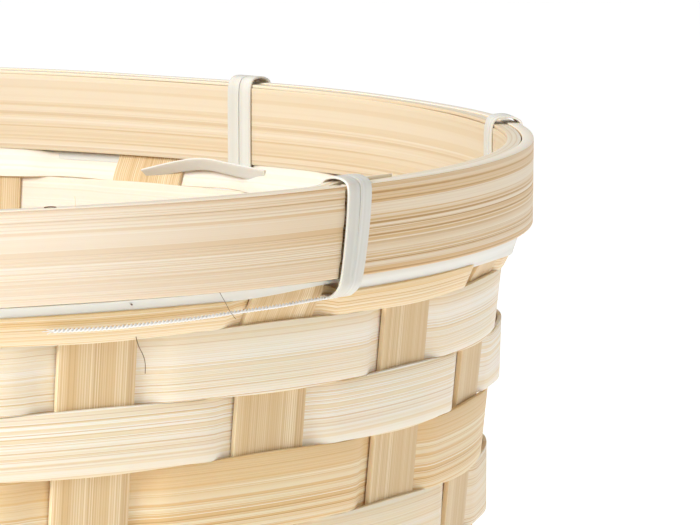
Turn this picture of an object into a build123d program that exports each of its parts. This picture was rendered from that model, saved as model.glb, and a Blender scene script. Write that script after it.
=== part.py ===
"""Round woven bamboo laundry basket: plaited base, flat uprights, ring weavers and a lashed rim."""

import math
import os

from build123d import *

# driving sizes, in millimetres, with the base resting on z = 0
HEIGHT = 340.0
RIM_RADIUS = 200.0

# uprights: long flat strips that cross the base and turn up the wall on both sides
STAKE_COUNT = 26
STAKE_WIDTH = 20.0
STAKE_THICK = 1.0
STAKE_TOP = HEIGHT - 1.5
STAKE_PITCH = 360.0 / STAKE_COUNT
WEAVE_TURN = -7.26

# wall line: middle of the uprights, straight behind the rim, pinched in below it, then tapering down
RIM_STAKE_RADIUS = 196.4
PINCH_TOP = HEIGHT - 18.5
PINCH_END = HEIGHT - 27.5
PINCH_RADIUS = 192.9
WALL_TAPER = 0.088

# plaited base
BASE_MID = 1.25
BASE_WAVE = 0.75
CORNER_BEND = 8.0
FOOT_RADIUS = 152.0
FLAT_HALF = 12.0

# ring weavers
WEAVER_THICK = 0.9
WEAVER_SWING = 1.8
WEAVER_PITCH = 13.8
WEAVER_GAP = 0.4
WEAVER_ROWS = 22
WEAVER_STEPS = 8
TOP_WEAVER_TOP = HEIGHT - 22.8
FIRST_ROW_TOP = HEIGHT - 26.9

# rim hoops
OUTER_HOOP_INSIDE = 197.45
OUTER_HOOP_TALL = 18.4
OUTER_HOOP_JOINT = -45.1
JOINT_GAP = 0.7
INNER_HOOP_OUTSIDE = 195.6
INNER_HOOP_INSIDE = 193.9
INNER_HOOP_TOP = HEIGHT - 2.0
INNER_HOOP_BOTTOM = HEIGHT - 19.5

# rim splint: a flat strip lying on the tops of the uprights, between the two hoops
SPLINT_INSIDE = 194.3
SPLINT_OUTSIDE = 197.15
SPLINT_TOP = HEIGHT - 0.1
SPLINT_BOTTOM = HEIGHT - 1.2

# white lashing strip: a run under the outer hoop, and two turns round the rim at every tie
LASH_THICK = 0.5
LASH_WIDTH = 4.0
TURN_SPACING = 4.15
RUN_TOP = HEIGHT - 18.7
RUN_BOTTOM = HEIGHT - 22.4
RUN_TOP_RADIUS = 197.4
RUN_BOTTOM_RADIUS = 195.95
TIE_ANGLES = (-43.7, 2.0, 39.3, 82.7, 124.3, 165.8, -152.6, -97.3)
TAIL_RADIUS = 193.1
TAIL_START = 38.5
TAIL_SWEEP = 10.0

# loose thread of the lashing, lying along the top weaver: angle in degrees, radius, height
THREAD_RADIUS = 0.4
THREAD_START_RADIUS = 197.5
THREAD_START_HEIGHT = HEIGHT - 22.2
THREAD_FIRST_RUN = 8.0
THREAD_ROUTE = (
    (-50.2, 197.8, HEIGHT - 22.7),
    (-53.4, 197.7, HEIGHT - 22.9),
    (-56.6, 197.8, HEIGHT - 23.4),
    (-59.8, 197.7, HEIGHT - 23.6),
    (-63.0, 197.9, HEIGHT - 23.9),
    (-66.1, 197.7, HEIGHT - 23.6),
)


def polar(angle, radius, height):
    """Point at an angle in degrees round the basket's axis."""
    turn = math.radians(angle)
    return Vector(radius * math.cos(turn), radius * math.sin(turn), height)


def upright_plane(angle, offset=0.0):
    """Vertical plane along the direction at this angle, local x outward and local y up."""
    turn = math.radians(angle)
    along = Vector(math.cos(turn), math.sin(turn), 0)
    normal = Vector(math.sin(turn), -math.cos(turn), 0)
    return Plane(origin=normal * offset, x_dir=along, z_dir=normal)


def wall_radius(height):
    """Radius of the uprights' middle at a height on or below the pinch under the rim."""
    if height >= PINCH_END:
        share = min(1.0, (height - PINCH_END) / (PINCH_TOP - PINCH_END))
        return PINCH_RADIUS + share * (RIM_STAKE_RADIUS - PINCH_RADIUS)
    return PINCH_RADIUS - WALL_TAPER * (PINCH_END - height)


def beside(points, distance):
    """Bent line moved sideways to the left of its direction, with sharp corners."""
    moved = []
    for number, point in enumerate(points):
        before = points[max(number - 1, 0)]
        after = points[min(number + 1, len(points) - 1)]
        first = (Vector(*point) - Vector(*before)) if number > 0 else (Vector(*after) - Vector(*point))
        second = (Vector(*after) - Vector(*point)) if number < len(points) - 1 else first
        first = first.normalized()
        second = second.normalized()
        middle = Vector(-first.Y - second.Y, first.X + second.X).normalized()
        reach = distance / middle.dot(Vector(-first.Y, first.X))
        moved.append((point[0] + middle.X * reach, point[1] + middle.Y * reach))
    return moved


def plaited_height(places, high_first, ends):
    """Middle line of a strip that goes over and under the strips it crosses."""
    line = [(-ends, BASE_MID)]
    side = 1 if high_first else -1
    for place in places:
        line.append((place - FLAT_HALF, BASE_MID + side * BASE_WAVE))
        line.append((place + FLAT_HALF, BASE_MID + side * BASE_WAVE))
        side = -side
    line.append((ends, BASE_MID))
    return line


def base_strip(axis_angle, side_angle, cross_angles, high_first, name):
    """One long strip: a plaited length across the base and an upright at each end."""
    places = [FOOT_RADIUS * math.sin(math.radians(cross)) for cross in cross_angles]
    offset = FOOT_RADIUS * math.sin(math.radians(side_angle))
    ends = FOOT_RADIUS * math.cos(math.radians(side_angle)) + 4.0
    middle_line = plaited_height(places, high_first, ends)
    half = STAKE_THICK / 2
    lower = [(x, z - half) for x, z in middle_line]
    upper = [(x, z + half) for x, z in reversed(middle_line)]
    wall_line = [
        (FOOT_RADIUS - 5.0, BASE_MID),
        (wall_radius(BASE_MID), BASE_MID),
        (PINCH_RADIUS, PINCH_END),
        (RIM_STAKE_RADIUS, PINCH_TOP),
        (RIM_STAKE_RADIUS, STAKE_TOP),
    ]
    inside = beside(wall_line, half)
    outside = beside(wall_line, -half)
    with BuildPart() as strip:
        with BuildSketch(upright_plane(axis_angle, -offset)):
            with BuildLine():
                Polyline(*lower, *upper, close=True)
            make_face()
        extrude(amount=STAKE_WIDTH / 2, both=True)
        for angle in (axis_angle + side_angle, axis_angle + 180.0 - side_angle):
            with BuildSketch(upright_plane(angle)):
                with BuildLine():
                    FilletPolyline(*inside, radius=[CORNER_BEND - half, 3.0, 4.0])
                    FilletPolyline(*outside, radius=[CORNER_BEND + half, 4.0, 3.0])
                    Line(inside[0], outside[0])
                    Line(inside[-1], outside[-1])
                make_face()
            extrude(amount=STAKE_WIDTH / 2, both=True)
    strip.part.label = name
    export_step(strip.part, f"parts/{name}.step")
    return strip.part


def wave_outline(height, shift, passes_outside):
    """Points of a weaver's face in plan, swinging outside one upright and inside the next."""
    half_count = STAKE_COUNT // 2
    steps = half_count * WEAVER_STEPS
    side = 1.0 if passes_outside else -1.0
    points = []
    for step in range(steps):
        phase = 2 * math.pi * step / WEAVER_STEPS
        swing = side * WEAVER_SWING * math.tanh(1.5 * math.cos(phase)) / math.tanh(1.5)
        radius = wall_radius(height) + swing + shift
        points.append(polar(WEAVE_TURN + 360.0 * step / steps, radius, 0))
    return points


def ring_weaver(bottom, top, passes_outside, name):
    """One closed row of flat weaver between two heights."""
    half = WEAVER_THICK / 2
    with BuildPart() as row:
        for shift, mode in ((half, Mode.ADD), (-half, Mode.SUBTRACT)):
            with BuildSketch(Plane.XY.offset(bottom), mode=Mode.PRIVATE) as low:
                with BuildLine():
                    Spline(*wave_outline(bottom, shift, passes_outside), periodic=True)
                make_face()
            with BuildSketch(Plane.XY.offset(top), mode=Mode.PRIVATE) as high:
                with BuildLine():
                    Spline(*wave_outline(top, shift, passes_outside), periodic=True)
                make_face()
            loft([low.sketch, high.sketch], mode=mode)
    row.part.label = name
    export_step(row.part, f"parts/{name}.step")
    return row.part


os.makedirs("parts", exist_ok=True)

# long strips of the base: seven along one way and six across it
along_angles = [STAKE_PITCH * number for number in range(-3, 4)]
across_angles = [STAKE_PITCH * (number + 0.5) for number in range(-3, 3)]
for number, side_angle in enumerate(along_angles):
    base_strip(
        WEAVE_TURN, side_angle, across_angles, number % 2 == 0, f"long_strip_along_{number + 1}"
    )
for number, side_angle in enumerate(across_angles):
    base_strip(
        WEAVE_TURN + 90.0, side_angle, along_angles, number % 2 == 0, f"long_strip_across_{number + 1}"
    )

# ring weavers, the narrow one under the rim first and then the rows below it
ring_weaver(FIRST_ROW_TOP + WEAVER_GAP / 2, TOP_WEAVER_TOP, True, "weaver_01")
for row in range(WEAVER_ROWS):
    row_top = FIRST_ROW_TOP - WEAVER_PITCH * row - WEAVER_GAP / 2
    row_bottom = FIRST_ROW_TOP - WEAVER_PITCH * (row + 1) + WEAVER_GAP / 2
    ring_weaver(row_bottom, row_top, row % 2 == 1, f"weaver_{row + 2:02d}")

# outer hoop: one flat strip bent round, its cut ends meeting beside the first tie
with BuildPart() as outer_hoop:
    with BuildSketch(Plane.XY.offset(HEIGHT - OUTER_HOOP_TALL)):
        Circle(RIM_RADIUS)
        Circle(OUTER_HOOP_INSIDE, mode=Mode.SUBTRACT)
    extrude(amount=OUTER_HOOP_TALL)
    chamfer(outer_hoop.edges().filter_by(GeomType.CIRCLE), length=0.4)
    with Locations(Location(polar(OUTER_HOOP_JOINT, RIM_RADIUS, HEIGHT - 10.0), (0, 0, OUTER_HOOP_JOINT))):
        Box(12.0, JOINT_GAP, 30.0, mode=Mode.SUBTRACT)
outer_hoop.part.label = "outer_hoop"
export_step(outer_hoop.part, "parts/outer_hoop.step")

# inner hoop: a thinner flat strip inside the uprights' tops
with BuildPart() as inner_hoop:
    with BuildSketch(Plane.XY.offset(INNER_HOOP_BOTTOM)):
        Circle(INNER_HOOP_OUTSIDE)
        Circle(INNER_HOOP_INSIDE, mode=Mode.SUBTRACT)
    extrude(amount=INNER_HOOP_TOP - INNER_HOOP_BOTTOM)
    chamfer(inner_hoop.edges().filter_by(GeomType.CIRCLE), length=0.3)
inner_hoop.part.label = "inner_hoop"
export_step(inner_hoop.part, "parts/inner_hoop.step")

# rim splint: the strip that closes the top between the hoops, held down by the ties
with BuildPart() as rim_splint:
    with BuildSketch(Plane.XY.offset(SPLINT_BOTTOM)):
        Circle(SPLINT_OUTSIDE)
        Circle(SPLINT_INSIDE, mode=Mode.SUBTRACT)
    extrude(amount=SPLINT_TOP - SPLINT_BOTTOM)
    chamfer(rim_splint.edges().filter_by(GeomType.CIRCLE), length=0.2)
rim_splint.part.label = "rim_splint"
export_step(rim_splint.part, "parts/rim_splint.step")

# lashing: the loop of one turn, seen from its side, as the middle of the strip
loop_line = [
    (200.55, HEIGHT - 0.6),
    (199.7, HEIGHT + 0.55),
    (194.2, HEIGHT + 0.55),
    (193.35, HEIGHT - 0.4),
    (193.35, HEIGHT - 21.2),
    (194.3, HEIGHT - 22.2),
    (198.4, HEIGHT - 22.2),
    (200.55, HEIGHT - 18.6),
]
with BuildPart() as lashing:
    with BuildSketch(Plane.XZ):
        with BuildLine():
            Polyline(
                (RUN_BOTTOM_RADIUS, RUN_BOTTOM),
                (RUN_BOTTOM_RADIUS + LASH_THICK, RUN_BOTTOM),
                (RUN_TOP_RADIUS + LASH_THICK, RUN_TOP),
                (RUN_TOP_RADIUS, RUN_TOP),
                close=True,
            )
        make_face()
    revolve(axis=Axis.Z)
    with BuildSketch(Plane.XZ.rotated((0, 0, TAIL_START))):
        with Locations((TAIL_RADIUS + LASH_THICK / 2, HEIGHT - 21.4)):
            Rectangle(LASH_THICK, 2.0)
    revolve(axis=Axis.Z, revolution_arc=TAIL_SWEEP)
    for angle in TIE_ANGLES:
        for side in (-0.5, 0.5):
            with BuildSketch(upright_plane(angle, side * TURN_SPACING)):
                with BuildLine():
                    Polyline(*loop_line, close=True)
                make_face()
                offset(amount=LASH_THICK / 2, kind=Kind.INTERSECTION)
                offset(amount=-LASH_THICK, kind=Kind.INTERSECTION, mode=Mode.SUBTRACT)
            extrude(amount=LASH_WIDTH / 2, both=True)
lashing.part.label = "lashing"
export_step(lashing.part, "parts/lashing.step")

# thread: straight runs joined by tangent arcs, starting square on the side of the first tie's foot
first_side = upright_plane(TIE_ANGLES[0], TURN_SPACING / 2 + LASH_WIDTH / 2)
thread_start = first_side.origin + first_side.x_dir * THREAD_START_RADIUS + Vector(0, 0, THREAD_START_HEIGHT)
thread_points = [thread_start, thread_start + first_side.z_dir * THREAD_FIRST_RUN]
thread_points += [polar(*spot) for spot in THREAD_ROUTE]
thread_radii = []
for before, corner, after in zip(thread_points, thread_points[1:], thread_points[2:]):
    shorter = min((corner - before).length, (after - corner).length)
    half_turn = math.radians((corner - before).get_angle(after - corner)) / 2
    thread_radii.append(0.45 * shorter / math.tan(half_turn))
print("thread bend radii", [round(radius, 1) for radius in thread_radii])
with BuildPart() as thread:
    with BuildLine() as thread_path:
        FilletPolyline(*thread_points, radius=thread_radii)
    with BuildSketch(thread_path.line ^ 0):
        Circle(THREAD_RADIUS)
    sweep()
thread.part.label = "thread"
export_step(thread.part, "parts/thread.step")
thread_length = thread_path.wire().length
print("thread length", round(thread_length, 1))
print("thread volume share", round(thread.part.volume / (math.pi * THREAD_RADIUS**2 * thread_length), 4))
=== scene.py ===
"""Round woven bamboo laundry basket with a lashed rim, in a soft white studio."""

import math
import random

import bpy
from mathutils import Matrix, Vector


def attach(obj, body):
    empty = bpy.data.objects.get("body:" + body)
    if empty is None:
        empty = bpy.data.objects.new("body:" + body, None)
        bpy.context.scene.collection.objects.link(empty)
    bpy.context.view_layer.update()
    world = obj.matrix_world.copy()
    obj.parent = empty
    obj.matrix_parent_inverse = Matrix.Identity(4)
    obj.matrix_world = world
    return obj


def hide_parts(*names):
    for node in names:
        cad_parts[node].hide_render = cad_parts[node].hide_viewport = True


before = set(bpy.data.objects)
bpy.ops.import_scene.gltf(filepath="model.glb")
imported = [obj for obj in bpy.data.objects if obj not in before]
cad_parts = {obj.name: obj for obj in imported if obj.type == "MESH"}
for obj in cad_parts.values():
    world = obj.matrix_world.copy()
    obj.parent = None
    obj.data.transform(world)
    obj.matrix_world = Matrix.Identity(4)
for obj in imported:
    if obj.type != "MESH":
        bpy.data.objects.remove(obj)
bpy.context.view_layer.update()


# The view: a long lens a little above the rim, looking past the near edge of the basket, whose
# axis stands off to the left of the view.
basket_height = 0.340
view_right = Vector((0.99135, -0.13106, 0.00721))
view_up = Vector((0.00723, 0.10936, 0.99398))
view_back = Vector((-0.13106, -0.98532, 0.10936))

camera_data = bpy.data.cameras.new("studio_camera")
camera_data.sensor_width = 36.0
camera_data.lens = 281.39
camera_data.clip_start = 0.05
camera_data.clip_end = 60.0
camera = bpy.data.objects.new("studio_camera", camera_data)
camera.location = (0.0, -1.21164, basket_height + 0.1035)
camera.rotation_euler = Matrix((view_right, view_up, view_back)).transposed().to_euler()
bpy.context.collection.objects.link(camera)
bpy.context.scene.camera = camera


# The loose thread: a white two-ply thread left over from the lashing. It comes out beside the
# foot of the near tie and lies along the top weaver; its other end is bare and a little frayed.
ply_radius = 0.00022
ply_offset = 0.00021
ply_pitch = 0.0019
# angle in degrees round the axis, radius and height
thread_route = [
    (-44.882, 0.19754, 0.3178),
    (-47.199, 0.19787, 0.3178),
    (-50.2, 0.1978, 0.3173),
    (-53.4, 0.1977, 0.3171),
    (-56.6, 0.1978, 0.3166),
    (-59.8, 0.1977, 0.3164),
    (-63.0, 0.1979, 0.3161),
    (-66.1, 0.1977, 0.3164),
]


def around(angle, radius, height):
    """Point at an angle in degrees round the basket's axis."""
    turn = math.radians(angle)
    return Vector((radius * math.cos(turn), radius * math.sin(turn), height))


def route_curve(name, points):
    """Open smooth curve with the given points as its control points."""
    data = bpy.data.curves.new(name, "CURVE")
    data.dimensions = "3D"
    spline = data.splines.new("NURBS")
    spline.points.add(len(points) - 1)
    for knot, point in zip(spline.points, points):
        knot.co = (*point, 1.0)
    spline.order_u = 3
    spline.use_endpoint_u = True
    spline.resolution_u = 24
    route = bpy.data.objects.new(name, data)
    bpy.context.collection.objects.link(route)
    return route


def plain_finish(name, color, rough, bump_scale=0.0, bump_depth=0.0):
    """Material of one colour with fine mottling and a slight surface texture."""
    finish = bpy.data.materials.new(name)
    finish.use_nodes = True
    nodes = finish.node_tree.nodes
    links = finish.node_tree.links
    shader = nodes["Principled BSDF"]
    shader.inputs["Roughness"].default_value = rough
    where = nodes.new("ShaderNodeTexCoord")
    mottle = nodes.new("ShaderNodeTexNoise")
    mottle.inputs["Scale"].default_value = 260.0
    mottle.inputs["Detail"].default_value = 3.0
    tone = nodes.new("ShaderNodeValToRGB")
    tone.color_ramp.elements[0].position = 0.3
    tone.color_ramp.elements[0].color = (*[c * 0.9 for c in color], 1.0)
    tone.color_ramp.elements[1].position = 0.7
    tone.color_ramp.elements[1].color = (*color, 1.0)
    links.new(where.outputs["Object"], mottle.inputs["Vector"])
    links.new(mottle.outputs["Fac"], tone.inputs["Fac"])
    links.new(tone.outputs["Color"], shader.inputs["Base Color"])
    if bump_scale:
        grit = nodes.new("ShaderNodeTexNoise")
        grit.inputs["Scale"].default_value = bump_scale
        bump = nodes.new("ShaderNodeBump")
        bump.inputs["Strength"].default_value = 0.4
        bump.inputs["Distance"].default_value = bump_depth
        links.new(where.outputs["Object"], grit.inputs["Vector"])
        links.new(grit.outputs["Fac"], bump.inputs["Height"])
        links.new(bump.outputs["Normal"], shader.inputs["Normal"])
    return finish


thread_curve = route_curve("thread_route", [around(*spot) for spot in thread_route])
depsgraph = bpy.context.evaluated_depsgraph_get()
route_mesh = bpy.data.meshes.new_from_object(thread_curve.evaluated_get(depsgraph))
thread_line = [vertex.co.copy() for vertex in route_mesh.vertices]
bpy.data.objects.remove(thread_curve)


def resampled(line, step):
    """The same line with points an equal step apart."""
    spaced = [line[0].copy()]
    wanted = step
    travelled = 0.0
    for start, end in zip(line, line[1:]):
        stretch = (end - start).length
        while stretch > 0 and travelled + stretch >= wanted:
            spaced.append(start.lerp(end, (wanted - travelled) / stretch))
            wanted += step
        travelled += stretch
    return spaced


def twisted_plies(name, line, plies, offset, radius, pitch, step, sides=8):
    """Mesh of round plies twisted round one line."""
    vertices = []
    faces = []
    for ply in range(plies):
        first = len(vertices)
        for number, point in enumerate(line):
            ahead = line[min(number + 1, len(line) - 1)]
            behind = line[max(number - 1, 0)]
            forward = (ahead - behind).normalized()
            side = forward.cross(Vector((0, 0, 1))).normalized()
            lift = side.cross(forward)
            turn = 2 * math.pi * (number * step / pitch + ply / plies)
            middle = point + offset * (side * math.cos(turn) + lift * math.sin(turn))
            for corner in range(sides):
                lean = 2 * math.pi * corner / sides
                vertices.append(middle + radius * (side * math.cos(lean) + lift * math.sin(lean)))
        for ring in range(len(line) - 1):
            for corner in range(sides):
                a = first + ring * sides + corner
                b = first + ring * sides + (corner + 1) % sides
                faces.append((a, a + sides, b + sides, b))
        faces.append(tuple(first + corner for corner in range(sides)))
        last = first + (len(line) - 1) * sides
        faces.append(tuple(last + corner for corner in reversed(range(sides))))
    mesh = bpy.data.meshes.new(name)
    mesh.from_pydata(vertices, [], faces)
    mesh.polygons.foreach_set("use_smooth", [True] * len(mesh.polygons))
    piece = bpy.data.objects.new(name, mesh)
    bpy.context.collection.objects.link(piece)
    return piece


ply_step = ply_pitch / 14
thread_steps = resampled(thread_line, ply_step)
loose_thread = twisted_plies(
    "loose_thread", thread_steps, 2, ply_offset, ply_radius, ply_pitch, ply_step
)
thread_finish = plain_finish("white_cotton", (0.86, 0.85, 0.82), 0.75)
loose_thread.data.materials.append(thread_finish)
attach(loose_thread, "root")
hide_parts("thread")


# The long strips: split bamboo 20 mm wide, seven one way and six across them, plaited to make the
# base. Each one turns up at both ends, so the thirteen strips give the wall its 26 uprights.
stake_count = 26
stake_pitch = 360.0 / stake_count
stake_width = 0.0200
stake_thick = 0.0010
weave_turn = -7.26
foot_radius = 0.152
base_mid = 0.00125
base_wave = 0.00075
corner_bend = 0.008
rim_stake_radius = 0.1964
stake_top = basket_height - 0.0015
pinch_top = basket_height - 0.0185
pinch_end = basket_height - 0.0275
pinch_radius = 0.1929
wall_taper = 0.088
# widths of the near uprights, and how many degrees some of them stand off their even places
near_widths = {0: 0.0200, -1: 0.0192, -2: 0.0196, -3: 0.0202, -4: 0.0178}
hand_shifts = {-4: 0.3, -1: -0.5, 0: -1.25, 1: -0.8, 2: -0.4}
# one stretch of the wall below the rim is a little flatter than round
flat_angle = -8.0
flat_reach = 17.0
flat_start = 0.0008
flat_rate = 0.022
flat_most = 0.00065


def upright_angle(index):
    """Angle of an upright counted from the one at the right of the view, set a little off by hand."""
    index = (index + stake_count // 2) % stake_count - stake_count // 2
    return weave_turn + stake_pitch * index + hand_shifts.get(index, 0.0)


def wall_radius(height, angle):
    """Radius of the uprights' middle at a height, a little flatter along one stretch of the wall."""
    away = (angle - flat_angle + 180.0) % 360.0 - 180.0
    flatter = flat_start + min(flat_most, flat_rate * max(0.0, pinch_end - height))
    flatter *= math.exp(-((away / flat_reach) ** 2))
    if height >= pinch_end:
        share = min(1.0, (height - pinch_end) / (pinch_top - pinch_end))
        share = share * share * (3 - 2 * share)
        return pinch_radius + share * (rim_stake_radius - pinch_radius) - flatter * (1.0 - share)
    return pinch_radius - wall_taper * (pinch_end - height) - flatter


def flat_wave(phase, hardness, bias=0.0):
    """Wave with flattened tops, phase in radians, its upper part wider where it has a bias."""
    return math.tanh(hardness * (math.cos(phase) + bias)) / math.tanh(hardness)


def strip_from_stations(name, stations, columns, thick, grain_start, closed=False, edge=0.00018):
    """Flat strip laid through stations of middle point, across vector and width.

    Its grain runs along it in metres and starts at a different place for every strip.
    """
    shift_along = grain_start * 3.17
    shift_across = grain_start * 0.731
    bpy.ops.object.select_all(action="DESELECT")
    bpy.ops.mesh.primitive_grid_add(x_subdivisions=len(stations) - 1, y_subdivisions=columns, size=2.0)
    strip = bpy.context.object
    strip.name = name
    strip.data.name = name
    travelled = [0.0]
    for before, after in zip(stations, stations[1:]):
        travelled.append(travelled[-1] + (after[0] - before[0]).length)
    last = len(stations) - 1
    grain = strip.data.uv_layers.active.data
    for loop in strip.data.loops:
        place = strip.data.vertices[loop.vertex_index].co
        row = round((place.x + 1) / 2 * last)
        grain[loop.index].uv = (
            travelled[row] + shift_along,
            place.y / 2 * stations[row][2] + shift_across,
        )
    for vertex in strip.data.vertices:
        row = round((vertex.co.x + 1) / 2 * last)
        middle, across, width = stations[row]
        vertex.co = middle + across * (vertex.co.y / 2 * width)
    if closed:
        bpy.ops.object.mode_set(mode="EDIT")
        bpy.ops.mesh.select_all(action="SELECT")
        bpy.ops.mesh.remove_doubles(threshold=0.00001)
        bpy.ops.object.mode_set(mode="OBJECT")
    body = strip.modifiers.new("thickness", "SOLIDIFY")
    body.thickness = thick
    body.offset = 0.0
    bpy.ops.object.modifier_apply(modifier=body.name)
    round_over = strip.modifiers.new("edges", "BEVEL")
    round_over.width = edge
    round_over.segments = 2
    round_over.limit_method = "ANGLE"
    round_over.angle_limit = math.radians(50)
    bpy.ops.object.modifier_apply(modifier=round_over.name)
    bpy.ops.object.shade_smooth_by_angle(angle=math.radians(40))
    return strip


def upright_stations(angle, width):
    """Stations of one upright from its top down to where its foot starts."""
    out = around(angle, 1.0, 0.0)
    along_wall = around(angle + 90.0, 1.0, 0.0)
    stations = []
    heights = [stake_top - 0.002 * step for step in range(8)]
    heights += [pinch_top - 0.0011 * step for step in range(10)]
    heights += [pinch_end - 0.0046 * step for step in range(1, 66)]
    bend_start = base_mid + corner_bend
    for height in heights:
        if height > bend_start + 0.003:
            stations.append((out * wall_radius(height, angle) + Vector((0, 0, height)), along_wall, width))
    for step in range(9):
        lean = math.pi / 2 * step / 8
        radius = wall_radius(bend_start, angle) - corner_bend + corner_bend * math.cos(lean)
        height = bend_start - corner_bend * math.sin(lean)
        stations.append((out * radius + Vector((0, 0, height)), along_wall, width))
    return stations


def plait_height(place, crossings, side):
    """Height of a strip's middle where it passes over and under the strips it crosses."""
    if place <= crossings[0] or place >= crossings[-1]:
        end = crossings[0] if place <= crossings[0] else crossings[-1]
        side = side if place <= crossings[0] else side * (-1) ** (len(crossings) - 1)
        away = min(1.0, abs(place - end) / 0.016)
        return base_mid + base_wave * side * math.cos(math.pi / 2 * away)
    for number in range(len(crossings) - 1):
        if place <= crossings[number + 1]:
            share = (place - crossings[number]) / (crossings[number + 1] - crossings[number])
            return base_mid + base_wave * side * (-1) ** number * flat_wave(math.pi * share, 1.6)
    return base_mid


def long_strip(name, near_angle, far_angle, axis_angle, cross_angles, high_first, near, far, grain_start):
    """One strip across the base with an upright at each end."""
    axis = around(axis_angle, 1.0, 0.0)
    crossings = [foot_radius * math.sin(math.radians(angle)) for angle in cross_angles]
    first_corner = around(near_angle, foot_radius, 0.0)
    last_corner = around(far_angle, foot_radius, 0.0)
    heading = (last_corner - first_corner).normalized()
    flat_across = Vector((0, 0, 1)).cross(heading)
    side = 1 if high_first else -1
    stations = [(place, -across, width) for place, across, width in upright_stations(near_angle, near)]
    turn_in = 0.012

    def fold(corner, start, end):
        for step in range(1, 8):
            share = step / 8
            place = start.lerp(corner, share).lerp(corner.lerp(end, share), share)
            heading = (corner - start).normalized().lerp((end - corner).normalized(), share)
            across = Vector((0, 0, 1)).cross(heading).normalized()
            level = plait_height(place.dot(axis), crossings, side)
            yield (Vector((place.x, place.y, level)), across, stake_width)

    first_out = first_corner + around(near_angle, turn_in, 0.0)
    stations += fold(first_corner, first_out, first_corner + heading * turn_in)
    flat_length = (last_corner - first_corner).length - 2 * turn_in
    flat_steps = round(flat_length / 0.004)
    for step in range(flat_steps + 1):
        spot = first_corner + heading * (turn_in + flat_length * step / flat_steps)
        spot.z = plait_height(spot.dot(axis), crossings, side)
        stations.append((spot, flat_across, stake_width))
    last_out = last_corner + around(far_angle, turn_in, 0.0)
    stations += fold(last_corner, last_corner - heading * turn_in, last_out)
    stations += reversed(upright_stations(far_angle, far))
    return strip_from_stations(name, stations, 4, stake_thick, grain_start)


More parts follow.
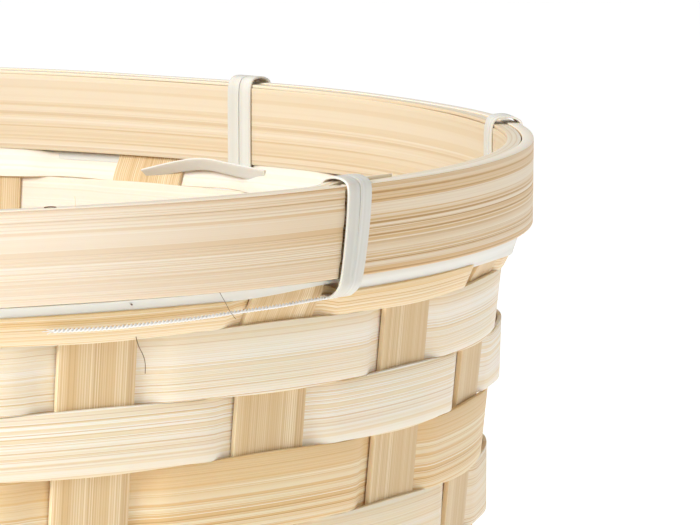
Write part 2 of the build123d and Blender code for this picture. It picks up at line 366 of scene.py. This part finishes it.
def split_bamboo(name, pale, tan, deep, fibres, bands, contrast, striped=0.0, depth=0.00005, painted_highlight=None):
    """Split bamboo: broad soft bands, dense fine fibres and a few strong ones along the strip.

    Fibres and bands are counts across one metre. A painted highlight lightens the strip over one
    stretch of its length, standing in for strong light washing it out: where it starts and is full,
    where it stays full and ends, and how strong it is.
    """
    finish = bpy.data.materials.new(name)
    finish.use_nodes = True
    nodes = finish.node_tree.nodes
    links = finish.node_tree.links
    shader = nodes["Principled BSDF"]
    grain = nodes.new("ShaderNodeTexCoord")

    def stretched(along, across, shift=0.0):
        stretch = nodes.new("ShaderNodeMapping")
        stretch.inputs["Scale"].default_value = (along, across, 1.0)
        stretch.inputs["Location"].default_value = (0.0, 0.0, shift)
        links.new(grain.outputs["UV"], stretch.inputs["Vector"])
        return stretch.outputs["Vector"]

    def ranged(value, low, high, top=1.0, bottom=0.0):
        reach = nodes.new("ShaderNodeMapRange")
        reach.inputs["From Min"].default_value = low
        reach.inputs["From Max"].default_value = high
        reach.inputs["To Min"].default_value = bottom
        reach.inputs["To Max"].default_value = top
        links.new(value, reach.inputs["Value"])
        return reach.outputs["Result"]

    def streaks(along, across, detail, low, high, shift=0.0, top=1.0, bottom=0.0):
        noise = nodes.new("ShaderNodeTexNoise")
        noise.inputs["Scale"].default_value = 1.0
        noise.inputs["Detail"].default_value = detail
        noise.inputs["Roughness"].default_value = 0.6
        links.new(stretched(along, across, shift), noise.inputs["Vector"])
        return ranged(noise.outputs["Fac"], low, high, top, bottom)

    def product(first, second):
        times = nodes.new("ShaderNodeMath")
        times.operation = "MULTIPLY"
        links.new(first, times.inputs[0])
        links.new(second, times.inputs[1])
        return times.outputs["Value"]

    def blended(share, below, above):
        mix = nodes.new("ShaderNodeMix")
        mix.data_type = "RGBA"
        links.new(share, mix.inputs[0])
        for socket, color in ((mix.inputs[6], below), (mix.inputs[7], above)):
            if isinstance(color, tuple):
                socket.default_value = (*color, 1.0)
            else:
                links.new(color, socket)
        return mix.outputs[2]

    broad = streaks(1.0, bands, 1.0, 0.40, 0.64, top=0.7)
    dense = streaks(1.6, bands * 0.5, 1.0, 0.42, 0.56, shift=3.0, bottom=0.12)
    fine = product(streaks(3.0, fibres, 1.0, 0.46, 0.58, shift=7.0, top=contrast), dense)
    strong = streaks(1.3, fibres * 0.42, 0.0, 0.58, 0.63, shift=11.0, top=contrast)
    pallid = streaks(2.5, fibres * 0.5, 1.0, 0.58, 0.68, shift=15.0, top=0.38 if not striped else 0.0)
    hairs = product(streaks(2.0, fibres * 0.8, 0.0, 0.62, 0.67, shift=19.0, top=contrast), dense)
    cloud = streaks(14.0, 60.0, 2.0, 0.40, 0.75, shift=23.0, top=0.2)
    lightest = tuple(1.0 - 0.6 * (1.0 - channel) for channel in pale)
    color = blended(broad, pale, tan)
    color = blended(cloud, color, tan)
    if striped:
        stripes = nodes.new("ShaderNodeTexWave")
        stripes.bands_direction = "Y"
        stripes.inputs["Scale"].default_value = 1.0
        stripes.inputs["Distortion"].default_value = 2.0
        stripes.inputs["Detail"].default_value = 2.0
        stripes.inputs["Detail Scale"].default_value = 1.0
        links.new(stretched(3.0, 540.0, 31.0), stripes.inputs["Vector"])
        color = blended(ranged(stripes.outputs["Fac"], 0.45, 1.0, top=striped), color, tan)
    color = blended(fine, color, tan)
    color = blended(pallid, color, lightest)
    color = blended(strong, color, tan)
    color = blended(hairs, color, deep)
    # painted highlight: the colour is lightened over one stretch of the strip in place of strong light
    # falling on it
    if painted_highlight:
        along_strip = nodes.new("ShaderNodeSeparateXYZ")
        links.new(grain.outputs["UV"], along_strip.inputs["Vector"])
        rising = ranged(along_strip.outputs["X"], painted_highlight[0], painted_highlight[1], top=painted_highlight[4])
        falling = ranged(along_strip.outputs["X"], painted_highlight[3], painted_highlight[2])
        color = blended(product(rising, falling), color, lightest)
    links.new(color, shader.inputs["Base Color"])
    shader.inputs["Roughness"].default_value = 0.5
    shader.inputs["Specular IOR Level"].default_value = 0.3
    shader.inputs["Subsurface Weight"].default_value = 0.25
    shader.inputs["Subsurface Radius"].default_value = (1.0, 0.5, 0.2)
    shader.inputs["Subsurface Scale"].default_value = 0.0015
    ridges = nodes.new("ShaderNodeBump")
    ridges.inputs["Strength"].default_value = 0.6
    ridges.inputs["Distance"].default_value = depth
    ridges.invert = True
    links.new(fine, ridges.inputs["Height"])
    links.new(ridges.outputs["Normal"], shader.inputs["Normal"])
    return finish


stake_bamboo = split_bamboo(
    "stake_bamboo",
    pale=(0.83, 0.68, 0.46),
    tan=(0.62, 0.42, 0.20),
    deep=(0.50, 0.30, 0.12),
    fibres=2800.0,
    bands=180.0,
    contrast=0.5,
    striped=0.75,
)
far_width_least = 0.0190
far_width_spread = 0.0018
along_angles = [stake_pitch * number for number in range(-3, 4)]
across_angles = [stake_pitch * (number + 0.5) for number in range(-3, 3)]
for family, (turn, sides, crosses) in enumerate(
    ((weave_turn, along_angles, across_angles), (weave_turn + 90.0, across_angles, along_angles))
):
    word = ("along", "across")[family]
    for number, side_angle in enumerate(sides):
        angles = []
        ends = []
        for angle in (turn + side_angle, turn + 180.0 - side_angle):
            index = round((angle - weave_turn) / stake_pitch)
            index = (index + 12) % stake_count - 12
            angles.append(upright_angle(index))
            usual = far_width_least + far_width_spread * ((index * 7) % 5) / 4
            ends.append(near_widths.get(index, usual))
        node = f"long_strip_{word}_{number + 1}"
        grain_start = 1.0 + number + 10 * family
        piece = long_strip(
            f"bamboo_{node}", *angles, turn, crosses, number % 2 == 0, *ends, grain_start
        )
        piece.data.materials.append(stake_bamboo)
        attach(piece, "root")
        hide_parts(node)


# The weavers: thinner, paler split bamboo about 14 mm wide, woven in separate rings. Each passes
# outside one upright and inside the next, and its neighbours do the opposite, which locks the wall.
weaver_thick = 0.0009
weaver_swing = 0.0012
weaver_hardness = 6.0
weaver_bias = 0.55
weaver_spread = 0.0009
weaver_gap = 0.0002
row_pitch = 0.0138
# the outer passes stand further out along the flat stretch of the wall
bulge = 0.0014
bulge_lean = 0.0005
bulge_reach = 6.0
# the narrow row under the rim rises behind the uprights and, but for one stretch, over the lashing
tuck_rise = 0.0010
over_lashing = 0.0006
bare_from = -44.0
bare_to = 20.0
steps_per_stake = 14
row_edges = [-0.0214, -0.0266, -0.0402, -0.0529, -0.0680, -0.0821]
row_edges += [row_edges[-1] - row_pitch * (row + 1) for row in range(18)]
# pale, tan and deep colours of three tones of bamboo, and the contrast of their grain
weaver_tones = {
    "straw": ((0.86, 0.76, 0.58), (0.75, 0.53, 0.26), (0.62, 0.38, 0.14), 0.9),
    "pale": ((0.87, 0.82, 0.73), (0.80, 0.65, 0.42), (0.64, 0.41, 0.17), 0.8),
    "honey": ((0.82, 0.69, 0.46), (0.72, 0.48, 0.22), (0.60, 0.36, 0.13), 0.95),
}
weaver_bamboo = {
    tone: split_bamboo(f"weaver_{tone}", light, tan, deep, fibres=3700.0, bands=150.0, contrast=strength)
    for tone, (light, tan, deep, strength) in weaver_tones.items()
}
row_tones = ("straw", "pale", "pale", "honey", "pale", "straw", "honey")
bamboo_pith = split_bamboo(
    "bamboo_pith",
    pale=(0.86, 0.80, 0.71),
    tan=(0.82, 0.72, 0.57),
    deep=(0.70, 0.54, 0.35),
    fibres=1200.0,
    bands=110.0,
    contrast=0.4,
)


def pith_inside(piece):
    """Gives the faces that look towards the basket's axis the softer inner side of the bamboo."""
    piece.data.materials.append(bamboo_pith)
    for polygon in piece.data.polygons:
        outward = Vector((polygon.center.x, polygon.center.y, 0.0)).normalized()
        if polygon.normal.dot(outward) < -0.6:
            polygon.material_index = 1


def ring_weaver(name, low_edge, high_edge, passes_outside, seed):
    """One closed row of weaver, widest where it crosses an upright, slightly uneven by hand.

    The row with seed 0 is the narrow one under the rim.
    """
    hand = random.Random(seed)
    start = 0.0 if passes_outside else math.pi
    steps = stake_count * steps_per_stake
    lifts = [hand.uniform(-0.00015, 0.00015) for _ in range(stake_count)]
    swings = [hand.uniform(0.92, 1.08) for _ in range(stake_count)]
    leans = [hand.uniform(-0.00005, 0.0003) for _ in range(stake_count)]
    stations = []
    for step in range(steps + 1):
        stake = (step + steps_per_stake // 2) // steps_per_stake % stake_count
        before = (stake - 1) % stake_count
        share = ((step + steps_per_stake // 2) % steps_per_stake) / steps_per_stake
        share = share * share * (3 - 2 * share)
        index = step // steps_per_stake
        ahead = upright_angle(index + 1) - upright_angle(index)
        ahead = (ahead + 360.0) % 360.0
        angle = upright_angle(index) + ahead * (step / steps_per_stake - index)
        phase = math.pi * step / steps_per_stake + start
        swing = weaver_swing * flat_wave(phase, weaver_hardness, weaver_bias)
        swing *= swings[before] * (1 - share) + swings[stake] * share
        away = (angle - flat_angle + 180.0) % 360.0 - 180.0
        slack = math.exp(-((away / bulge_reach) ** 2)) if passes_outside and seed > 0 else 0.0
        swing += bulge * slack
        lift = lifts[before] * (1 - share) + lifts[stake] * share
        lean = leans[before] * (1 - share) + leans[stake] * share + bulge_lean * slack
        extra = (weaver_spread * abs(math.cos(phase)) ** 1.5 - weaver_gap) / 2
        bottom = low_edge - extra + lift
        top = high_edge + extra + lift
        if seed == 0:
            cover = -weaver_gap if bare_from < angle < bare_to else over_lashing
            behind = min(1.0, max(0.0, -1.3 - 3.0 * math.cos(phase)))
            top = high_edge + cover + tuck_rise * behind
        low = around(angle, wall_radius(bottom, angle) + swing + lean, bottom)
        high = around(angle, wall_radius(top, angle) + swing - lean, top)
        stations.append((low.lerp(high, 0.5), (high - low).normalized(), (high - low).length))
    return strip_from_stations(name, stations, 4, weaver_thick, 40.0 + seed, closed=True, edge=0.00012)


for number, (high_edge, low_edge) in enumerate(zip(row_edges, row_edges[1:])):
    node = f"weaver_{number + 1:02d}"
    piece = ring_weaver(
        f"bamboo_{node}", basket_height + low_edge, basket_height + high_edge, number % 2 == 0, number
    )
    piece.data.materials.append(weaver_bamboo[row_tones[number % len(row_tones)]])
    pith_inside(piece)
    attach(piece, "root")
    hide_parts(node)


# The outer hoop: one thick flat strip of bamboo bent round the top of the wall, its saw-cut end
# showing as a rough edge beside the near tie. The inner hoop is thinner and sits a little lower.
hoop_tall = 0.0184
hoop_thick = 0.00255
hoop_middle = 0.19872
hoop_cut_top = -44.95
hoop_cut_low = -45.7
hoop_start = -44.6
cut_roughness = 0.0003
cut_reach = 0.018
inner_middle = 0.19475
inner_thick = 0.0017
inner_top = basket_height - 0.0010
inner_tall = 0.0190

hoop_bamboo_with_painted_highlight = split_bamboo(
    "hoop_bamboo_with_painted_highlight",
    pale=(0.82, 0.70, 0.53),
    tan=(0.68, 0.46, 0.23),
    deep=(0.52, 0.31, 0.12),
    fibres=2800.0,
    bands=330.0,
    contrast=1.0,
    # painted highlight: the hoop is paler from the back of the rim round the left to the near tie, the side
    # facing the big lamp
    painted_highlight=(257.3, 257.6, 257.95, 258.03, 0.45),
)


def hoop_stations(middle, top, tall, start, sweep, count, wander, seed):
    """Stations of a hoop whose height and radius wander slightly round the rim."""
    hand = random.Random(seed)
    waves = [(hand.randint(3, 17), hand.uniform(0, 6.28), hand.uniform(0.4, 1.0)) for _ in range(5)]
    stations = []
    for step in range(count + 1):
        angle = start + sweep * step / count
        turn = math.radians(angle)
        drift = sum(size * math.sin(times * turn + phase) for times, phase, size in waves)
        radius = middle + wander * 0.25 * drift
        height = top - tall / 2 + wander * 0.2 * drift
        stations.append((around(angle, radius, height), Vector((0, 0, 1)), tall))
    return stations


outer_hoop = strip_from_stations(
    "bamboo_outer_hoop",
    hoop_stations(
        hoop_middle, basket_height, hoop_tall, hoop_start, 360.0 + hoop_cut_top - hoop_start, 420, 0.0002, 5
    ),
    14,
    hoop_thick,
    81.0,
    edge=0.0002,
)
hand = random.Random(11)
cut_angle = math.radians(hoop_cut_top)
rough = {}
for vertex in outer_hoop.data.vertices:
    angle = math.atan2(vertex.co.y, vertex.co.x)
    if -0.02 < angle - cut_angle < 0.004:
        level = round((vertex.co.z - basket_height) * 4000)
        if level not in rough:
            rough[level] = hand.uniform(-cut_roughness, cut_roughness)
        drop = max(0.0, (basket_height - vertex.co.z) / hoop_tall)
        lean = math.radians((hoop_cut_low - hoop_cut_top) * drop ** 1.6)
        near_end = max(0.0, 1.0 - (cut_angle - angle) / cut_reach)
        shift = (lean + rough[level] / 0.2) * near_end
        radius = math.hypot(vertex.co.x, vertex.co.y)
        vertex.co.x = radius * math.cos(angle + shift)
        vertex.co.y = radius * math.sin(angle + shift)
splint_bamboo = split_bamboo(
    "splint_bamboo",
    pale=(0.92, 0.87, 0.78),
    tan=(0.82, 0.69, 0.50),
    deep=(0.66, 0.46, 0.25),
    fibres=2400.0,
    bands=300.0,
    contrast=0.5,
)
outer_hoop.data.materials.append(hoop_bamboo_with_painted_highlight)
outer_hoop.data.materials.append(splint_bamboo)
for polygon in outer_hoop.data.polygons:
    if polygon.normal.z > 0.3:
        polygon.material_index = 1
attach(outer_hoop, "root")
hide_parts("outer_hoop")

inner_hoop = strip_from_stations(
    "bamboo_inner_hoop",
    hoop_stations(inner_middle, inner_top, inner_tall, -120.0, 360.0, 420, 0.0002, 9),
    12,
    inner_thick,
    93.0,
    closed=True,
    edge=0.0003,
)
hoop_pith = split_bamboo(
    "hoop_pith",
    pale=(0.77, 0.655, 0.49),
    tan=(0.70, 0.545, 0.345),
    deep=(0.60, 0.42, 0.22),
    fibres=1200.0,
    bands=130.0,
    contrast=0.5,
)
inner_hoop.data.materials.append(hoop_pith)
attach(inner_hoop, "root")
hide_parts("inner_hoop")


# The rim splint: a thin strip laid flat on the tops of the uprights to close the gap between the
# hoops. Its last bit runs on over its own start and ends in a pointed sliver beside the near tie.
splint_middle = 0.19575
splint_width = 0.0030
splint_thick = 0.0007
splint_start = -43.9
splint_sweep = 365.0
splint_steps = 480
lap_start = 357.5
lap_length = 2.5
lap_rise = 0.0010
point_length = 7.0
splint_stations = []
for step in range(splint_steps + 1):
    turned = splint_sweep * step / splint_steps
    lap = min(1.0, max(0.0, (turned - lap_start) / lap_length))
    point = min(1.0, max(0.0, (splint_sweep - turned) / point_length))
    radius = splint_middle + 0.00015 * math.sin(math.radians(turned * 7)) + 0.0008 * (1.0 - point)
    height = basket_height - 0.0006 + lap_rise * lap * lap * (3 - 2 * lap)
    splint_stations.append(
        (
            around(splint_start + turned, radius, height),
            around(splint_start + turned, 1.0, 0.0),
            splint_width * (0.12 + 0.88 * point),
        )
    )
rim_splint = strip_from_stations(
    "bamboo_rim_splint", splint_stations, 3, splint_thick, 97.0, edge=0.00015
)
sliver_sides_painted_light = split_bamboo(
    "sliver_sides_painted_light",
    pale=(0.94, 0.88, 0.76),
    tan=(0.88, 0.76, 0.56),
    deep=(0.72, 0.52, 0.28),
    fibres=2400.0,
    bands=300.0,
    contrast=0.4,
)
rim_splint.data.materials.append(splint_bamboo)
rim_splint.data.materials.append(sliver_sides_painted_light)
# painted light: the side faces of the raised sliver take a paler copy of the bamboo, so these faces in their
# own shade read pale
for polygon in rim_splint.data.polygons:
    if polygon.center.z > basket_height + 0.0001 and abs(polygon.normal.z) < 0.7:
        polygon.material_index = 1
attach(rim_splint, "root")
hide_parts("rim_splint")


# Loose fibres: hairs and splinters that the splitting knife lifted from the edges of the bamboo, and
# the frayed tip of the white thread. Each is a single fine filament still held at its root.
# name, radius, and points as angle, radius and height from the rim's top
fibre_routes = [
    ("edge_hair", 0.00008, ((-60.1, 0.1949, -0.0262), (-60.0, 0.1951, -0.0280), (-59.6, 0.1951, -0.0300),
                            (-59.4, 0.1949, -0.0320), (-59.4, 0.1947, -0.0338))),
    ("hoop_hair", 0.00005, ((-55.3, 0.2000, -0.0184), (-55.0, 0.2002, -0.0200), (-54.4, 0.1996, -0.0226),
                            (-53.7, 0.1986, -0.0242))),
    ("hoop_speck", 0.00016, ((-61.0, 0.1976, -0.0195), (-60.95, 0.1978, -0.0196), (-60.9, 0.1976, -0.0197))),
    ("rim_splinter", 0.00013, ((-66.8, 0.1990, 0.0002), (-66.4, 0.1990, 0.0004), (-66.0, 0.1989, 0.0001))),
    ("rim_bristle", 0.00009, ((-65.0, 0.1995, -0.0001), (-64.9, 0.1995, 0.0010), (-65.0, 0.1994, 0.0022))),
    ("frayed_tip_1", 0.00009, ((-65.9, 0.1977, -0.0236), (-66.2, 0.1979, -0.0235),
                                (-66.5, 0.1979, -0.0232))),
    ("frayed_tip_2", 0.00009, ((-65.9, 0.1977, -0.0237), (-66.3, 0.1979, -0.0238),
                                (-66.5, 0.1980, -0.0242))),
    ("frayed_tip_3", 0.00009, ((-65.9, 0.1977, -0.0236), (-66.4, 0.1980, -0.0236),
                                (-66.8, 0.1979, -0.0236))),
]
dark_fibre = plain_finish("dark_fibre", (0.16, 0.09, 0.04), 0.6)
pale_fibre = plain_finish("pale_fibre", (0.78, 0.66, 0.46), 0.6)
fibre_step = 0.0002
for name, thick, spots in fibre_routes:
    fibre_curve = route_curve(f"{name}_route", [around(a, r, basket_height + z) for a, r, z in spots])
    depsgraph = bpy.context.evaluated_depsgraph_get()
    fibre_mesh = bpy.data.meshes.new_from_object(fibre_curve.evaluated_get(depsgraph))
    fibre_line = resampled([vertex.co.copy() for vertex in fibre_mesh.vertices], fibre_step)
    bpy.data.objects.remove(fibre_curve)
    fibre = twisted_plies(name, fibre_line, 1, 0.0, thick, 1.0, fibre_step, sides=6)
    if name.startswith("frayed"):
        fibre.data.materials.append(thread_finish)
    else:
        fibre.data.materials.append(pale_fibre if name == "rim_bristle" else dark_fibre)
    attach(fibre, "root")


# The lashing: one flat white strip, 4 mm wide. It runs round under the outer hoop, takes two turns
# over the rim at every tie, and its free end is left lying inside below the inner hoop.
lash_thick = 0.0005
lash_width = 0.00375
tie_angles = (-43.9, 2.0, 39.3, 82.7, 124.3, 165.8, -152.6, -97.3)
near_lean = -0.0031
far_lean = -0.0006
turn_aside = 0.00198
# the line of one turn: radius, and height from the rim's top
tie_loop = [
    (0.20058, -0.0180),
    (0.20062, -0.0120),
    (0.20062, -0.0040),
    (0.20050, -0.0006),
    (0.19985, 0.0007),
    (0.19800, 0.0014),
    (0.19600, 0.0014),
    (0.19450, 0.0009),
    (0.19375, -0.0004),
    (0.19345, -0.0030),
    (0.19345, -0.0120),
    (0.19345, -0.0190),
    (0.19360, -0.0212),
    (0.19470, -0.0221),
    (0.19620, -0.0223),
    (0.19800, -0.0222),
    (0.19930, -0.0214),
    (0.20030, -0.0200),
]


def smooth_loop(points, per_span):
    """Closed smooth line through plane points."""
    count = len(points)
    line = []
    for number in range(count):
        a, b, c, d = (Vector(points[(number + shift) % count]) for shift in (-1, 0, 1, 2))
        for step in range(per_span):
            t = step / per_span
            line.append(
                0.5 * (2 * b + (c - a) * t + (2 * a - 5 * b + 4 * c - d) * t * t
                       + (3 * b - a - 3 * c + d) * t * t * t)
            )
    return line


def tie_turn(name, angle, sideways, lean, seed):
    """One turn of the strip round the rim, leaning a little towards its foot."""
    out = around(angle, 1.0, 0.0)
    along = around(angle + 90.0, 1.0, 0.0)
    line = smooth_loop(tie_loop, 4)
    stations = []
    for spot in line + line[:1]:
        drop = max(0.0, -spot[1]) / 0.0223
        outer = 1.0 if spot[0] > 0.1975 else 0.4
        slide = sideways + lean * outer * drop ** 1.7
        place = out * spot[0] + along * slide + Vector((0, 0, basket_height + spot[1]))
        stations.append((place, along, lash_width))
    return strip_from_stations(name, stations, 4, lash_thick, seed, closed=True, edge=0.00012)


lash_white = split_bamboo(
    "lash_white",
    pale=(0.74, 0.72, 0.66),
    tan=(0.66, 0.63, 0.56),
    deep=(0.55, 0.51, 0.43),
    fibres=900.0,
    bands=300.0,
    contrast=0.25,
    depth=0.00002,
)
lash_pieces = []
for number, angle in enumerate(tie_angles):
    lean = near_lean if number == 0 else far_lean
    first = tie_turn(f"lash_tie_{number + 1}_first", angle, -turn_aside, lean, 110.0 + number)
    second = tie_turn(f"lash_tie_{number + 1}_second", angle, turn_aside, lean * 1.25, 120.0 + number)
    lash_pieces += [first, second]

# the run hangs lower and stands off the wall along one stretch, and is narrower left of the near tie
run_steps = 720
run_top = -0.0187
run_bottom = -0.0223
run_top_radius = 0.1975
run_bottom_radius = 0.1959
run_slope = 0.38
run_stations = []
for step in range(run_steps + 1):
    angle = tie_angles[0] + 360.0 * step / run_steps
    away = (angle - tie_angles[0] + 180.0) % 360.0 - 180.0
    dip = 0.0034 * math.exp(-(((angle + 6.0 + 180.0) % 360.0 - 180.0) / 11.0) ** 2)
    narrow = 0.0014 * math.exp(-((away + 1.0) / 5.0) ** 2) if away < 0 else 0.0
    thin_side = 0.0014 if -60.0 < away < 0 else 0.0
    bottom = run_bottom + thin_side + narrow - dip
    stand_off = 0.0012 * math.exp(-(((angle - 8.0 + 180.0) % 360.0 - 180.0) / 14.0) ** 2)
    low_radius = run_bottom_radius + run_slope * (bottom - run_bottom) + 0.1 * dip + stand_off
    low = around(angle, low_radius, basket_height + bottom)
    high = around(angle, run_top_radius - 0.7 * stand_off, basket_height + run_top)
    run_stations.append((low.lerp(high, 0.5), (high - low).normalized(), (high - low).length))
lash_pieces.append(
    strip_from_stations("lash_run", run_stations, 4, lash_thick, 131.0, closed=True, edge=0.00012)
)

# the free end: angle, radius and height from the rim's top
tail_width = 0.0034
tail_points = [
    (36.6, 0.1936, -0.0224),
    (40.0, 0.1930, -0.0214),
    (42.7, 0.1926, -0.0203),
    (45.8, 0.1927, -0.0222),
    (48.6, 0.1930, -0.0246),
]
tail_curve = route_curve(
    "tail_route", [around(a, r, basket_height + z) for a, r, z in tail_points]
)
depsgraph = bpy.context.evaluated_depsgraph_get()
tail_mesh = bpy.data.meshes.new_from_object(tail_curve.evaluated_get(depsgraph))
tail_line = [vertex.co.copy() for vertex in tail_mesh.vertices][::3]
bpy.data.objects.remove(tail_curve)
tail_stations = []
for number, point in enumerate(tail_line):
    ahead = tail_line[min(number + 1, len(tail_line) - 1)]
    behind = tail_line[max(number - 1, 0)]
    heading = (ahead - behind).normalized()
    inward = -Vector((point.x, point.y, 0)).normalized()
    lean = 0.3 + 0.5 * number / len(tail_line)
    across = heading.cross(inward).normalized() * math.cos(lean) + inward * math.sin(lean)
    tail_stations.append((point, across, tail_width))
lash_pieces.append(strip_from_stations("lash_tail", tail_stations, 3, lash_thick, 141.0, edge=0.0001))
for piece in lash_pieces:
    piece.data.materials.append(lash_white)
    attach(piece, "root")
    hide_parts("lashing")


# The studio: a wide white floor under the basket and soft white light from all round, with a
# large soft lamp in front to the left and a weak one above.
bpy.ops.object.select_all(action="DESELECT")
bpy.ops.mesh.primitive_plane_add(size=40.0, location=(0.0, 8.0, -0.0005))
floor = bpy.context.object
floor.name = "studio_floor"
floor_finish = bpy.data.materials.new("studio_white")
floor_finish.use_nodes = True
floor_shader = floor_finish.node_tree.nodes["Principled BSDF"]
floor_shader.inputs["Base Color"].default_value = (0.95, 0.95, 0.95, 1.0)
floor_shader.inputs["Roughness"].default_value = 0.9
floor_shader.inputs["Emission Color"].default_value = (1.0, 1.0, 1.0, 1.0)
floor_shader.inputs["Emission Strength"].default_value = 0.5
floor.data.materials.append(floor_finish)

world = bpy.data.worlds.new("studio_world")
world.use_nodes = True
world.node_tree.nodes["Background"].inputs["Color"].default_value = (1.0, 1.0, 1.0, 1.0)
world.node_tree.nodes["Background"].inputs["Strength"].default_value = 0.5
bpy.context.scene.world = world
bpy.context.scene.view_settings.view_transform = "Standard"


def soft_lamp(name, place, target, size, power):
    """Large square lamp pointing at a target."""
    light = bpy.data.lights.new(name, "AREA")
    light.size = size
    light.energy = power
    lamp = bpy.data.objects.new(name, light)
    lamp.location = place
    lamp.rotation_euler = (Vector(target) - Vector(place)).to_track_quat("-Z", "Y").to_euler()
    bpy.context.collection.objects.link(lamp)


soft_lamp("lamp_front_left", (-2.4, -2.2, 1.9), (0.0, 0.0, 0.3), 1.8, 132.0)
soft_lamp("lamp_above", (-0.5, -0.2, 3.0), (0.0, 0.0, 0.3), 2.0, 9.0)
